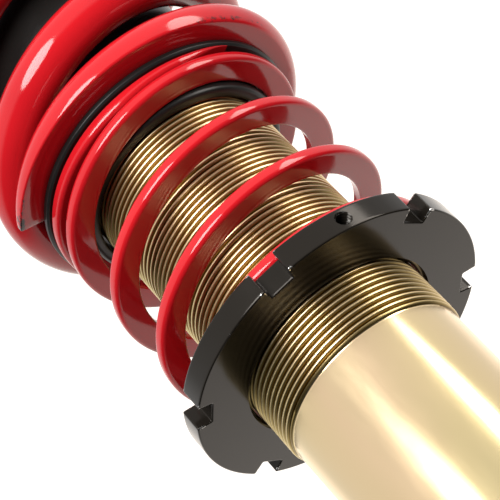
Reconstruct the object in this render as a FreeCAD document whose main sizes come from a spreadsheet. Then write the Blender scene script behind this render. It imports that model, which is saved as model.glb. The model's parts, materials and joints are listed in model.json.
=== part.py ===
import FreeCAD, Part
import math
import os
import Sketcher

# Adjustable coilover strut, millimetres.
# +Z runs up the strut axis and the origin is the centre of the tube's bottom end.
# Angles about the axis are counted from +X towards +Y, in degrees.
# One spanner notch of the perch collar points along +X.

doc = FreeCAD.newDocument("coilover")

SIZES = {
    # strut tube and its thread
    "tube_radius": 22.5,
    "tube_bore": 19.5,
    "tube_top": 262.0,
    "thread_radius": 23.25,
    "thread_root": 22.45,
    "thread_start": 137.0,
    "thread_end": 256.0,
    "thread_pitch": 1.5,
    # adjustable spring perch
    "collar_face": 150.0,
    "collar_thick": 6.0,
    "collar_radius": 37.5,
    "collar_bore": 23.55,
    "notch_depth": 3.75,
    "notch_width": 6.0,
    "collar_chamfer": 0.4,
    "bore_chamfer": 0.9,
    "grub_radius": 1.8,
    "grub_hole": 2.1,
    "grub_socket": 0.9,
    "grub_recess": 3.4,
    "grub_angle": 30.4,
    # helper spring, flat wire
    "helper_outer": 33.5,
    "helper_inner": 27.1,
    "helper_wire": 3.3,
    "helper_base": 156.0,
    "helper_top": 217.3,
    "helper_start": 71.0,
    "helper_turns": 4.964,
    "helper_closed_pitch": 1.6,
    "helper_open_pitch": 18.67,
    # divider ring between the two springs
    "flange_radius": 33.9,
    "flange_thick": 1.8,
    "pilot_bore": 23.9,
    "pilot_outer": 26.8,
    "pilot_drop": 7.2,
    "upper_pilot_bore": 26.0,
    "upper_pilot_outer": 27.8,
    "upper_pilot_rise": 8.0,
    # main spring, round wire
    "main_mean": 34.0,
    "main_wire": 6.0,
    "main_base": 219.1,
    "main_top": 369.1,
    "main_start": -63.0,
    "main_turns": 6.317,
    "main_closed_pitch": 9.0,
    "main_open_pitch": 28.67,
    "main_lean": 1.8,
    "main_lean_side": 75.0,
    # dust boot
    "boot_outer": 25.6,
    "boot_inner": 24.3,
    "boot_neck": 24.4,
    # upper spring seat, bearing and mount
    "seat_thick": 3.0,
    "seat_radius": 44.0,
    "seat_bore": 24.6,
    "seat_sleeve": 27.6,
    "seat_lip": 2.0,
    "isolator_thick": 3.0,
    "bearing_mean": 30.0,
    "bearing_ball": 2.45,
    "race_bottom": 375.1,
    "mount_base": 384.95,
    "bearing_half_width": 5.0,
    "mount_radius": 60.0,
    "mount_thick": 4.0,
    "boss_foot": 34.0,
    "boss_top": 30.0,
    "boss_bore": 24.5,
    "boss_rise": 18.0,
    "core_bore": 6.1,
    "core_radius": 11.45,
    "washer_radius": 16.0,
    "washer_thick": 3.0,
    "rod_nut_corner": 10.9,
    "rod_nut_thick": 11.0,
    "stud_circle": 46.0,
    "stud_radius": 4.0,
    "stud_rise": 22.0,
    # damper inside the tube
    "rod_radius": 7.0,
    "rod_shank": 5.0,
    "rod_thread": 6.0,
    "piston_thick": 14.0,
    "piston_nut_corner": 9.0,
    "piston_nut_thick": 6.0,
    "rod_foot": 221.8,
    "rod_top": 432.0,
    "inner_tube_outer": 17.0,
    "inner_tube_bore": 15.0,
    "piston_radius": 14.8,
}

NOTCHES = 6
BALLS = 24
STUDS = 3
BOOT_FOLDS = 8
BOOT_FOLD_PITCH = 8

sheet = doc.addObject("Spreadsheet::Sheet", "sizes")
for row, (alias, size) in enumerate(SIZES.items(), start=1):
    sheet.set(f"A{row}", alias)
    sheet.set(f"B{row}", str(size))
    sheet.setAlias(f"B{row}", alias)
doc.recompute()


def value(expression):
    """Number that a sum of sheet names and plain numbers comes to."""
    total = 0.0
    sign = 1
    for token in expression.split():
        if token in ("+", "-"):
            sign = 1 if token == "+" else -1
        else:
            total += sign * (SIZES[token] if token in SIZES else float(token))
    return total


def bound(expression):
    """The same sum written as an expression on the sheet."""
    tokens = [f"sizes.{token}" if token in SIZES else token for token in expression.split()]
    return " ".join(tokens)


def origin_feature(body, role):
    return next(item for item in body.Origin.OriginFeatures if item.Role == role)


def new_sketch(body, role, name):
    sketch = body.newObject("Sketcher::SketchObject", name)
    sketch.AttachmentSupport = [(origin_feature(body, role), "")]
    sketch.MapMode = "FlatFace"
    return sketch


def add_outline(sketch, points):
    """Closed outline whose corners are each held by two bound distances."""
    first = sketch.GeometryCount
    count = len(points)
    corners = [FreeCAD.Vector(value(across), value(up), 0) for across, up in points]
    for index in range(count):
        line = Part.LineSegment(corners[index], corners[(index + 1) % count])
        sketch.addGeometry(line, False)
    for index in range(count):
        after = first + (index + 1) % count
        sketch.addConstraint(Sketcher.Constraint("Coincident", first + index, 2, after, 1))
    for index, (across, up) in enumerate(points):
        for kind, axis, text in (("DistanceX", -2, across), ("DistanceY", -1, up)):
            if value(text) == 0.0:
                sketch.addConstraint(Sketcher.Constraint("PointOnObject", first + index, 1, axis))
                continue
            held = Sketcher.Constraint(kind, -1, 1, first + index, 1, value(text))
            number = sketch.addConstraint(held)
            sketch.setExpression(f"Constraints[{number}]", bound(text))


def turned(label, outline):
    """A body turned about the strut axis from (radius, height) corners."""
    body = doc.addObject("PartDesign::Body", label)
    body.Label = label
    sketch = new_sketch(body, "XZ_Plane", f"{label}_profile")
    add_outline(sketch, outline)
    turn = body.newObject("PartDesign::Revolution", f"{label}_turn")
    turn.Profile = sketch
    turn.ReferenceAxis = (sketch, ["V_Axis"])
    turn.Angle = 360.0
    body.Tip = turn
    return body


def tube(label, inner, outer, low, high):
    """A plain ring or sleeve."""
    return turned(label, [(inner, low), (outer, low), (outer, high), (inner, high)])


def around_axis(body, feature, count):
    """Repeat a feature evenly round the strut axis."""
    pattern = body.newObject("PartDesign::PolarPattern", f"{feature.Name}_pattern")
    pattern.Originals = [feature]
    pattern.Axis = (origin_feature(body, "Z_Axis"), [""])
    pattern.Angle = 360.0
    pattern.Occurrences = count
    body.Tip = pattern
    return pattern


# ---- strut tube: smooth below, threaded above ------------------------------------

def make_strut_tube():
    body = turned("strut_tube", [
        ("tube_bore", "0"),
        ("tube_radius", "0"),
        ("tube_radius", "thread_start - 0.8"),
        ("thread_radius", "thread_start"),
        ("thread_radius", "thread_end"),
        ("thread_radius - 1", "thread_end + 1"),
        ("thread_radius - 1", "tube_top"),
        ("tube_bore", "tube_top"),
    ])
    doc.recompute()
    blank = body.Shape.Volume
    sketch = new_sketch(body, "XZ_Plane", "thread_profile")
    add_outline(sketch, [
        ("thread_root", "thread_start + 0.75"),
        ("thread_radius + 0.2", "thread_start + 0.05"),
        ("thread_radius + 0.2", "thread_start + 1.45"),
    ])
    groove = body.newObject("PartDesign::Groove", "thread_groove")
    groove.Profile = sketch
    groove.ReferenceAxis = (sketch, ["V_Axis"])
    groove.Angle = 360.0
    body.Tip = groove
    doc.recompute()
    if not body.Shape.Volume < blank:
        raise RuntimeError("the thread groove cut nothing")
    rings = body.newObject("PartDesign::LinearPattern", "thread_rings")
    rings.Originals = [groove]
    rings.Direction = (origin_feature(body, "Z_Axis"), [""])
    rings.Length = SIZES["thread_end"] - SIZES["thread_start"] - SIZES["thread_pitch"]
    rings.setExpression("Length", "sizes.thread_end - sizes.thread_start - sizes.thread_pitch")
    rings.Occurrences = 79
    body.Tip = rings
    return body


# ---- adjustable perch -------------------------------------------------------------

def make_perch_collar():
    body = turned("perch_collar", [
        ("collar_bore", "collar_face + bore_chamfer"),
        ("collar_bore + bore_chamfer", "collar_face"),
        ("collar_radius - collar_chamfer", "collar_face"),
        ("collar_radius", "collar_face + collar_chamfer"),
        ("collar_radius", "collar_face + collar_thick - collar_chamfer"),
        ("collar_radius - collar_chamfer", "collar_face + collar_thick"),
        ("collar_bore + bore_chamfer", "collar_face + collar_thick"),
        ("collar_bore", "collar_face + collar_thick - bore_chamfer"),
    ])
    doc.recompute()
    blank = body.Shape.Volume
    notch = new_sketch(body, "XY_Plane", "notch_profile")
    half_width = SIZES["notch_width"] / 2
    notch_floor = SIZES["collar_radius"] - SIZES["notch_depth"]
    beyond = SIZES["collar_radius"] + 2
    corners = [
        (notch_floor, -half_width),
        (beyond, -half_width - 0.5),
        (beyond, half_width + 0.5),
        (notch_floor, half_width),
    ]
    for index in range(4):
        start = FreeCAD.Vector(*corners[index], 0)
        finish = FreeCAD.Vector(*corners[(index + 1) % 4], 0)
        notch.addGeometry(Part.LineSegment(start, finish), False)
    for index in range(4):
        notch.addConstraint(Sketcher.Constraint("Coincident", index, 2, (index + 1) % 4, 1))
    notch.addConstraint(Sketcher.Constraint("Symmetric", 3, 1, 0, 1, -1))
    notch.addConstraint(Sketcher.Constraint("Symmetric", 1, 1, 2, 1, -1))
    floor_at = notch.addConstraint(Sketcher.Constraint("DistanceX", -1, 1, 0, 1, notch_floor))
    notch.setExpression(f"Constraints[{floor_at}]", "sizes.collar_radius - sizes.notch_depth")
    across = notch.addConstraint(Sketcher.Constraint("DistanceY", 0, 1, 3, 1, 2 * half_width))
    notch.setExpression(f"Constraints[{across}]", "sizes.notch_width")
    mouth = notch.addConstraint(Sketcher.Constraint("DistanceY", 1, 1, 2, 1, 2 * half_width + 1))
    notch.setExpression(f"Constraints[{mouth}]", "sizes.notch_width + 1")
    reach = notch.addConstraint(Sketcher.Constraint("DistanceX", -1, 1, 1, 1, beyond))
    notch.setExpression(f"Constraints[{reach}]", "sizes.collar_radius + 2")
    pocket = body.newObject("PartDesign::Pocket", "notch")
    pocket.Profile = notch
    pocket.Type = "ThroughAll"
    pocket.Reversed = True
    body.Tip = pocket
    doc.recompute()
    if not body.Shape.Volume < blank:
        raise RuntimeError("the spanner notch cut nothing")
    around_axis(body, pocket, NOTCHES)
    doc.recompute()
    return body


def radial_bar(name, radius, inner, outer):
    """A round bar on the grub screw's axis, at mid-thickness of the collar."""
    bar = doc.addObject("Part::Cylinder", name)
    bar.setExpression("Radius", bound(radius))
    bar.setExpression("Height", f"({bound(outer)}) - ({bound(inner)})")
    angle = math.radians(SIZES["grub_angle"])
    start = value(inner)
    height = SIZES["collar_face"] + SIZES["collar_thick"] / 2
    turn = FreeCAD.Rotation(FreeCAD.Vector(0, 0, 1), FreeCAD.Vector(math.cos(angle), math.sin(angle), 0))
    place = FreeCAD.Vector(start * math.cos(angle), start * math.sin(angle), height)
    bar.Placement = FreeCAD.Placement(place, turn)
    return bar


def hex_nut(label, corner, bore, foot, thick):
    """A hexagonal nut on the strut axis."""
    outside = doc.addObject("Part::Prism", f"{label}_hex")
    outside.Polygon = 6
    outside.setExpression("Circumradius", bound(corner))
    inside = doc.addObject("Part::Cylinder", f"{label}_bore")
    inside.setExpression("Radius", bound(bore))
    for solid in (outside, inside):
        solid.setExpression("Height", bound(thick))
        solid.setExpression("Placement.Base.z", bound(foot))
    return cut(label, outside, inside)


def cut(label, base, tool):
    result = doc.addObject("Part::Cut", label)
    result.Base = base
    result.Tool = tool
    result.Label = label
    return result


def make_perch():
    blank = make_perch_collar()
    blank.Label = "collar_blank"
    hole = radial_bar("grub_hole_bar", "grub_hole", "collar_bore - 1", "collar_radius + 1")
    collar = cut("perch_collar_drilled", blank, hole)
    collar.Label = "perch_collar"
    screw_bar = radial_bar("grub_bar", "grub_radius", "collar_bore + 1.4", "collar_radius - grub_recess")
    socket = radial_bar("grub_socket_bar", "grub_socket", "collar_radius - grub_recess - 2", "collar_radius")
    screw = cut("grub_screw", screw_bar, socket)
    pad = radial_bar("grub_pad", "grub_radius", "collar_bore + 0.1", "collar_bore + 1.3")
    pad.Label = "grub_pad"
    return [collar, screw, pad]


# ---- springs ------------------------------------------------------------------------

def ramp_rise(turns, low_pitch, high_pitch, flat, ramp, total):
    """Height gained after some turns of a coil with closed ends.

    The pitch is low_pitch for the first and last `flat` turns, high_pitch in the middle,
    and changes evenly between them over `ramp` turns."""
    steps = 400
    rise = 0.0
    for step in range(steps):
        at = turns * (step + 0.5) / steps
        inside = min(at, total - at)
        share = min(max((inside - flat) / ramp, 0.0), 1.0)
        rise += (low_pitch + (high_pitch - low_pitch) * share) * turns / steps
    return rise


def coil_path(radius, start_angle, start_height, turns, rise):
    """A smooth right-hand coil through 20 points a turn."""
    count = int(turns * 20)
    points = []
    for index in range(count + 1):
        done = turns * index / count
        angle = math.radians(start_angle) + 2 * math.pi * done
        height = start_height + rise(done)
        points.append(FreeCAD.Vector(radius * math.cos(angle), radius * math.sin(angle), height))
    curve = Part.BSplineCurve()
    curve.interpolate(points)
    return Part.Wire(curve.toShape())


def sweep(path, section):
    solid = path.makePipeShell([section], True, True)
    if solid.Volume < 0:
        solid.reverse()
    return solid


def ground(solid, low, high):
    """Cut a coil's ends flat between two heights."""
    block = Part.makeCylinder(60, high - low, FreeCAD.Vector(0, 0, low))
    return solid.common(block)


def feature(label, shape):
    solids = shape.Solids
    item = doc.addObject("Part::Feature", label)
    item.Shape = solids[0] if len(solids) == 1 else Part.makeCompound(solids)
    item.Label = label
    return item


def helper_rise(done):
    """The helper's end turns lie flat and its active turns ramp quickly; the tip runs on past them."""
    flat, ramp, ramped_turns = 0.74, 0.3, 4.8
    return ramp_rise(done, SIZES["helper_closed_pitch"], SIZES["helper_open_pitch"], flat, ramp, ramped_turns)


def main_rise(done):
    """Height of the wire; the free coils stand slightly out of square with the ground ends."""
    flat, ramp, settled = 0.31, 0.9, 0.5
    rise = ramp_rise(done, SIZES["main_closed_pitch"], SIZES["main_open_pitch"], flat, ramp,
                     SIZES["main_turns"])
    free = min(max(min(done, SIZES["main_turns"] - done) / settled, 0.0), 1.0)
    around = SIZES["main_start"] + 360 * done - SIZES["main_lean_side"]
    return rise + SIZES["main_lean"] * free ** 2 * (3 - 2 * free) * math.cos(math.radians(around))


def make_helper_spring():
    half_width = (SIZES["helper_outer"] - SIZES["helper_inner"]) / 2
    mean = (SIZES["helper_outer"] + SIZES["helper_inner"]) / 2
    low = SIZES["helper_base"] + 0.2
    path = coil_path(mean, SIZES["helper_start"], low, SIZES["helper_turns"], helper_rise)
    half = SIZES["helper_wire"] / 2
    angle = math.radians(SIZES["helper_start"])
    outward = FreeCAD.Vector(math.cos(angle), math.sin(angle), 0)
    centre = outward * mean + FreeCAD.Vector(0, 0, low)
    corners = []
    for across, up in ((-half_width, -half), (half_width, -half), (half_width, half), (-half_width, half)):
        corners.append(centre + outward * across + FreeCAD.Vector(0, 0, up))
    section = Part.makePolygon(corners + corners[:1])
    solid = sweep(path, section)
    return feature("helper_spring", ground(solid, SIZES["helper_base"], SIZES["helper_top"]))


def make_main_spring():
    low = SIZES["main_base"] - 0.6
    path = coil_path(SIZES["main_mean"], SIZES["main_start"], low, SIZES["main_turns"], main_rise)
    angle = math.radians(SIZES["main_start"])
    outward = FreeCAD.Vector(math.cos(angle), math.sin(angle), 0)
    along = FreeCAD.Vector(-math.sin(angle), math.cos(angle), 0)
    centre = outward * SIZES["main_mean"] + FreeCAD.Vector(0, 0, low)
    circle = Part.makeCircle(SIZES["main_wire"], centre, along)
    solid = sweep(path, Part.Wire(circle))
    return feature("main_spring", ground(solid, SIZES["main_base"], SIZES["main_top"]))


def make_divider_ring():
    flange_low = "helper_top + 0.05"
    flange_high = "main_base - 0.05"
    return turned("divider_ring", [
        ("pilot_bore", "helper_top - pilot_drop"),
        ("pilot_outer - 0.8", "helper_top - pilot_drop"),
        ("pilot_outer", "helper_top - pilot_drop + 0.8"),
        ("pilot_outer", flange_low),
        ("flange_radius - 0.5", flange_low),
        ("flange_radius", flange_low + " + 0.5"),
        ("flange_radius", flange_high + " - 0.3"),
        ("flange_radius - 0.3", flange_high),
        ("upper_pilot_outer", flange_high),
        ("upper_pilot_outer", "main_base + upper_pilot_rise - 1"),
        ("upper_pilot_outer - 0.8", "main_base + upper_pilot_rise"),
        ("upper_pilot_bore", "main_base + upper_pilot_rise"),
        ("upper_pilot_bore", "main_base"),
        ("pilot_bore", "main_base"),
    ])


# ---- damper internals ---------------------------------------------------------------

def make_damper():
    bottom_cap = turned("bottom_cap", [
        ("0", "1.5"),
        ("tube_bore - 0.05", "1.5"),
        ("tube_bore - 0.05", "9"),
        ("0", "9"),
    ])
    base_valve = turned("base_valve", [
        ("0", "9"),
        ("inner_tube_bore - 0.1", "9"),
        ("inner_tube_bore - 0.1", "19"),
        ("7", "19"),
        ("7", "22"),
        ("0", "22"),
    ])
    pressure_tube = tube("pressure_tube", "inner_tube_bore", "inner_tube_outer", "9", "tube_top - 22")
    rod_guide = turned("rod_guide", [
        ("rod_radius + 0.3", "tube_top - 26"),
        ("inner_tube_bore - 0.1", "tube_top - 26"),
        ("inner_tube_bore - 0.1", "tube_top - 22"),
        ("tube_bore - 0.1", "tube_top - 22"),
        ("tube_bore - 0.1", "tube_top - 12"),
        ("rod_radius + 0.3", "tube_top - 12"),
    ])
    rod_seal = turned("rod_seal", [
        ("rod_radius + 0.05", "tube_top - 12"),
        ("tube_bore - 0.1", "tube_top - 12"),
        ("tube_bore - 0.1", "tube_top - 6"),
        ("rod_radius + 2", "tube_top - 6"),
        ("rod_radius + 0.05", "tube_top - 8"),
    ])
    gland_nut = turned("gland_nut", [
        ("rod_radius + 0.4", "tube_top - 6"),
        ("tube_bore - 0.1", "tube_top - 6"),
        ("tube_bore - 0.1", "tube_top"),
        ("tube_radius - 0.2", "tube_top"),
        ("tube_radius - 0.2", "tube_top + 3.5"),
        ("tube_radius - 1.4", "tube_top + 4.7"),
        ("rod_radius + 0.4", "tube_top + 4.7"),
    ])
    piston = tube("piston", "rod_shank + 0.05", "piston_radius - 1.2", "rod_foot", "rod_foot + piston_thick")
    piston_band = tube("piston_band", "piston_radius - 1.2", "piston_radius", "rod_foot + 2", "rod_foot + 12")
    piston_nut = hex_nut("piston_nut", "piston_nut_corner", "rod_shank + 0.05",
                         "rod_foot - piston_nut_thick", "piston_nut_thick")
    piston_rod = turned("piston_rod", [
        ("0", "rod_foot - 8"),
        ("rod_shank - 0.5", "rod_foot - 8"),
        ("rod_shank", "rod_foot - 7.5"),
        ("rod_shank", "rod_foot + piston_thick"),
        ("rod_radius", "rod_foot + piston_thick"),
        ("rod_radius", "mount_base - 2.05"),
        ("rod_thread", "mount_base - 2.05"),
        ("rod_thread", "rod_top - 1"),
        ("rod_thread - 1", "rod_top"),
        ("0", "rod_top"),
    ])
    return [bottom_cap, base_valve, pressure_tube, rod_guide, rod_seal, gland_nut, piston, piston_band,
            piston_nut, piston_rod]


# ---- upper seat, bearing and mount ----------------------------------------------------

def make_seat():
    isolator = turned("spring_isolator", [
        ("upper_pilot_outer", "main_top"),
        ("main_mean + 6.5", "main_top"),
        ("main_mean + 6.5", "main_top + isolator_thick"),
        ("upper_pilot_outer", "main_top + isolator_thick"),
    ])
    seat = turned("upper_seat", [
        ("seat_bore", "main_top - 10"),
        ("seat_sleeve", "main_top - 10"),
        ("seat_sleeve", "main_top + isolator_thick"),
        ("seat_radius", "main_top + isolator_thick"),
        ("seat_radius", "main_top - 3"),
        ("seat_radius + seat_lip", "main_top - 3"),
        ("seat_radius + seat_lip", "main_top + isolator_thick + seat_thick"),
        ("seat_bore", "main_top + isolator_thick + seat_thick"),
    ])
    lower_race = turned("bearing_lower_race", [
        ("bearing_mean - bearing_half_width", "race_bottom"),
        ("bearing_mean + bearing_half_width", "race_bottom"),
        ("bearing_mean + bearing_half_width", "race_bottom + 3"),
        ("bearing_mean + 1.6", "race_bottom + 3"),
        ("bearing_mean", "race_bottom + 1.9"),
        ("bearing_mean - 1.6", "race_bottom + 3"),
        ("bearing_mean - bearing_half_width", "race_bottom + 3"),
    ])
    upper_race = turned("bearing_upper_race", [
        ("bearing_mean - bearing_half_width", "race_bottom + 9.8"),
        ("bearing_mean - bearing_half_width", "race_bottom + 6.8"),
        ("bearing_mean - 1.6", "race_bottom + 6.8"),
        ("bearing_mean", "race_bottom + 7.9"),
        ("bearing_mean + 1.6", "race_bottom + 6.8"),
        ("bearing_mean + bearing_half_width", "race_bottom + 6.8"),
        ("bearing_mean + bearing_half_width", "race_bottom + 9.8"),
    ])
    balls = []
    for index in range(BALLS):
        angle = 2 * math.pi * index / BALLS
        across = SIZES["bearing_mean"]
        height = SIZES["race_bottom"] + 4.9
        centre = FreeCAD.Vector(across * math.cos(angle), across * math.sin(angle), height)
        balls.append(Part.makeSphere(SIZES["bearing_ball"], centre))
    bearing_balls = feature("bearing_balls", Part.makeCompound(balls))
    boot = make_boot()
    return [isolator, seat, lower_race, upper_race, bearing_balls, boot]


def make_boot():
    """Dust boot: a smooth sleeve below and a row of shallow folds above."""
    outer = [("boot_outer", "main_base + 10")]
    inner = [("boot_inner", "main_base + 10")]
    for index in range(BOOT_FOLDS):
        crest = 70 + index * BOOT_FOLD_PITCH
        valley = crest + BOOT_FOLD_PITCH // 2
        outer.append(("boot_outer", f"main_base + {crest}"))
        outer.append(("boot_outer - 1", f"main_base + {valley}"))
        inner.append(("boot_inner", f"main_base + {crest}"))
        inner.append(("boot_inner - 1", f"main_base + {valley}"))
    outer.append(("boot_neck", f"main_base + {70 + BOOT_FOLDS * BOOT_FOLD_PITCH}"))
    outer.append(("boot_neck", "main_top + isolator_thick"))
    inner.append(("boot_inner - 1", "main_top + isolator_thick"))
    return turned("dust_boot", outer + inner[::-1])


def make_studs():
    """Weld studs standing on the plate."""
    studs = []
    foot_height = SIZES["mount_base"] + SIZES["mount_thick"]
    across = SIZES["stud_circle"]
    for index in range(STUDS):
        angle = math.radians(90 + 360 * index / STUDS)
        foot = FreeCAD.Vector(across * math.cos(angle), across * math.sin(angle), foot_height)
        studs.append(Part.makeCylinder(SIZES["stud_radius"], SIZES["stud_rise"], foot))
    return feature("tower_studs", Part.makeCompound(studs))


def make_mount():
    plate = tube("mount_plate", "boss_foot + 0.05", "mount_radius", "mount_base", "mount_base + mount_thick")
    boss = turned("mount_boss", [
        ("boss_bore", "mount_base"),
        ("boss_foot", "mount_base"),
        ("boss_foot", "mount_base + mount_thick"),
        ("boss_top", "mount_base + boss_rise"),
        ("boss_bore", "mount_base + boss_rise"),
    ])
    bush = tube("mount_bush", "core_radius + 0.05", "boss_bore - 0.05", "mount_base + 1", "mount_base + 17")
    core = tube("mount_core", "core_bore", "core_radius", "mount_base - 2", "mount_base + 19")
    washer = tube("rod_washer", "core_bore", "washer_radius", "mount_base + 19",
                  "mount_base + 19 + washer_thick")
    rod_nut = hex_nut("rod_nut", "rod_nut_corner", "rod_thread + 0.05", "mount_base + 19 + washer_thick",
                      "rod_nut_thick")
    bump = turned("bump_stop", [
        ("rod_radius + 0.2", "main_top - 42"),
        ("13", "main_top - 42"),
        ("17", "main_top - 36"),
        ("14", "main_top - 28"),
        ("18.5", "main_top - 20"),
        ("15", "main_top - 12"),
        ("19.5", "main_top - 4"),
        ("19.5", "mount_base - 2"),
        ("rod_radius + 0.2", "mount_base - 2"),
    ])
    return [plate, boss, bush, core, washer, rod_nut, bump, make_studs()]


parts = [make_strut_tube()]
parts += make_perch()
parts += [make_helper_spring(), make_divider_ring(), make_main_spring()]
parts += make_damper()
parts += make_seat()
parts += make_mount()

doc.recompute()
for item in doc.Objects:
    if "Invalid" in item.State or "Error" in item.State:
        raise RuntimeError(f"{item.Label} failed: {item.State}")
for item in parts:
    if item.Shape.isNull() or not item.Shape.isValid():
        raise RuntimeError(f"{item.Label} has no valid shape")

os.makedirs("parts", exist_ok=True)
for item in parts:
    item.Shape.exportStep(f"parts/{item.Label}.step")
    box = item.Shape.BoundBox
    print(f"{item.Label:20s} volume {item.Shape.Volume:10.1f}  z {box.ZMin:7.2f} to {box.ZMax:7.2f}")
print(len(parts), "parts")
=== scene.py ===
import json
import math

import bmesh
import bpy
from mathutils import Matrix, Vector


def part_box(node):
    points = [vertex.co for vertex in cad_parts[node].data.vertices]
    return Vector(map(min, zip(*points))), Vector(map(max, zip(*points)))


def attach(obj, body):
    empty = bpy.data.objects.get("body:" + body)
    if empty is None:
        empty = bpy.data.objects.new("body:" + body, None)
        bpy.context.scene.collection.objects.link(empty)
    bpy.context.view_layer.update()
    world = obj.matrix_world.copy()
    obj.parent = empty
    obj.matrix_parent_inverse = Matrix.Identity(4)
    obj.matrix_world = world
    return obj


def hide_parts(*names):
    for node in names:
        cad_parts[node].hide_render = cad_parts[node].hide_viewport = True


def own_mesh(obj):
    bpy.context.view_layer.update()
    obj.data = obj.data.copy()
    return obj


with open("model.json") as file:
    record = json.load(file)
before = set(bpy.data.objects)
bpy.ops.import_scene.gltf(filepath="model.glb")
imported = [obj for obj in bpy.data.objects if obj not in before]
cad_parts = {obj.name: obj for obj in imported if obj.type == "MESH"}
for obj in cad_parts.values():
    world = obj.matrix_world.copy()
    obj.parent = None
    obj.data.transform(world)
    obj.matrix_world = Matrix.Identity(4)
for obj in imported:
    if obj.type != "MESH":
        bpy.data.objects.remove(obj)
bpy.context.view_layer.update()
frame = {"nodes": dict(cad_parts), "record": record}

# Outlines below are (radius, height) or (radius, height, fillet) in millimetres, and are scaled to
# metres as meshes are made. Heights are taken from the CAD nodes where a piece has one.
MM = 0.001
TAU = 2 * math.pi
TINY = 1e-6
# Half the angle of an outline corner that is too straight to be filleted.
NEARLY_STRAIGHT = math.radians(89.5)
CAMERA_AZIMUTH = math.radians(1.0)


def span(node):
    """Lowest height, highest height and greatest radius of a CAD node, in millimetres."""
    low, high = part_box(node)
    reach = max(abs(low.x), abs(high.x), abs(low.y), abs(high.y))
    return low.z / MM, high.z / MM, reach / MM


# ---- meshes ---------------------------------------------------------------------------

def add_mesh(name, vertices, faces, material, sharp=35.0, merge=True):
    """A smooth-shaded object from millimetre vertices; edges over `sharp` degrees stay crisp."""
    mesh = bpy.data.meshes.new(name)
    mesh.from_pydata([(x * MM, y * MM, z * MM) for x, y, z in vertices], [], faces)
    mesh.validate()
    obj = bpy.data.objects.new(name, mesh)
    bpy.context.scene.collection.objects.link(obj)
    mesh.materials.append(material)
    if merge:
        tidy(obj, sharp)
    return obj


def tidy(obj, sharp=35.0):
    """Merge doubled points, face outwards and mark the crisp edges."""
    work = bmesh.new()
    work.from_mesh(obj.data)
    bmesh.ops.remove_doubles(work, verts=work.verts, dist=0.002 * MM)
    bmesh.ops.dissolve_degenerate(work, edges=work.edges, dist=0.0005 * MM)
    bmesh.ops.recalc_face_normals(work, faces=work.faces)
    work.to_mesh(obj.data)
    work.free()
    for polygon in obj.data.polygons:
        polygon.use_smooth = True
    obj.data.set_sharp_from_angle(angle=math.radians(sharp))


def apply_modifier(obj, modifier):
    bpy.context.view_layer.update()
    graph = bpy.context.evaluated_depsgraph_get()
    mesh = bpy.data.meshes.new_from_object(obj.evaluated_get(graph))
    obj.modifiers.remove(modifier)
    obj.data = mesh


def rounded(corners, steps=4):
    """A closed outline from (x, y, fillet) corners, with each fillet drawn as an arc."""
    points = []
    count = len(corners)
    for index, corner in enumerate(corners):
        x, y = corner[0], corner[1]
        fillet = corner[2] if len(corner) > 2 else 0.0
        here = Vector((x, y))
        before = Vector(corners[index - 1][:2]) - here
        after = Vector(corners[(index + 1) % count][:2]) - here
        if fillet <= 0 or min(before.length, after.length) < TINY:
            points.append((x, y))
            continue
        half = before.angle(after) / 2
        if half > NEARLY_STRAIGHT:
            points.append((x, y))
            continue
        reach = min(fillet / math.tan(half), 0.49 * min(before.length, after.length))
        radius = reach * math.tan(half)
        middle = here + (before.normalized() + after.normalized()).normalized() * (radius / math.sin(half))
        start = here + before.normalized() * reach - middle
        finish = here + after.normalized() * reach - middle
        sweep = start.angle_signed(finish)
        for step in range(steps + 1):
            turn = Matrix.Rotation(-sweep * step / steps, 2)
            point = middle + turn @ start
            points.append((point.x, point.y))
    return points


def lathe(name, corners, material, segments=144, sharp=35.0):
    """A closed solid of revolution about the strut axis, from filleted (radius, height) corners."""
    outline = rounded(corners)
    count = len(outline)
    vertices = []
    for segment in range(segments):
        angle = TAU * segment / segments
        for radius, height in outline:
            vertices.append((radius * math.cos(angle), radius * math.sin(angle), height))
    faces = []
    for segment in range(segments):
        ahead = (segment + 1) % segments
        for index in range(count):
            after = (index + 1) % count
            if outline[index][0] < TINY and outline[after][0] < TINY:
                continue
            faces.append((segment * count + index, ahead * count + index,
                          ahead * count + after, segment * count + after))
    return add_mesh(name, vertices, faces, material, sharp)


def add_rings(points, faces, rings, segments):
    """Append rings given as (reach, height), joined by faces; a reach may be a function of the angle."""
    first = len(points)
    for reach, height in rings:
        for segment in range(segments):
            angle = TAU * segment / segments
            across = reach(angle) if callable(reach) else reach
            points.append((across * math.cos(angle), across * math.sin(angle), height))
    for row in range(len(rings) - 1):
        here = first + row * segments
        for segment in range(segments):
            ahead = (segment + 1) % segments
            faces.append((here + segment, here + ahead, here + segments + ahead, here + segments + segment))
    return first


def paint(obj, name, shade):
    """A per-point number from shade(x, y, z) in millimetres, read by the materials."""
    layer = obj.data.attributes.new(name, "FLOAT", "POINT")
    for vertex, value in zip(obj.data.vertices, layer.data):
        value.value = shade(vertex.co.x / MM, vertex.co.y / MM, vertex.co.z / MM)


# ---- materials --------------------------------------------------------------------------

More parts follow.
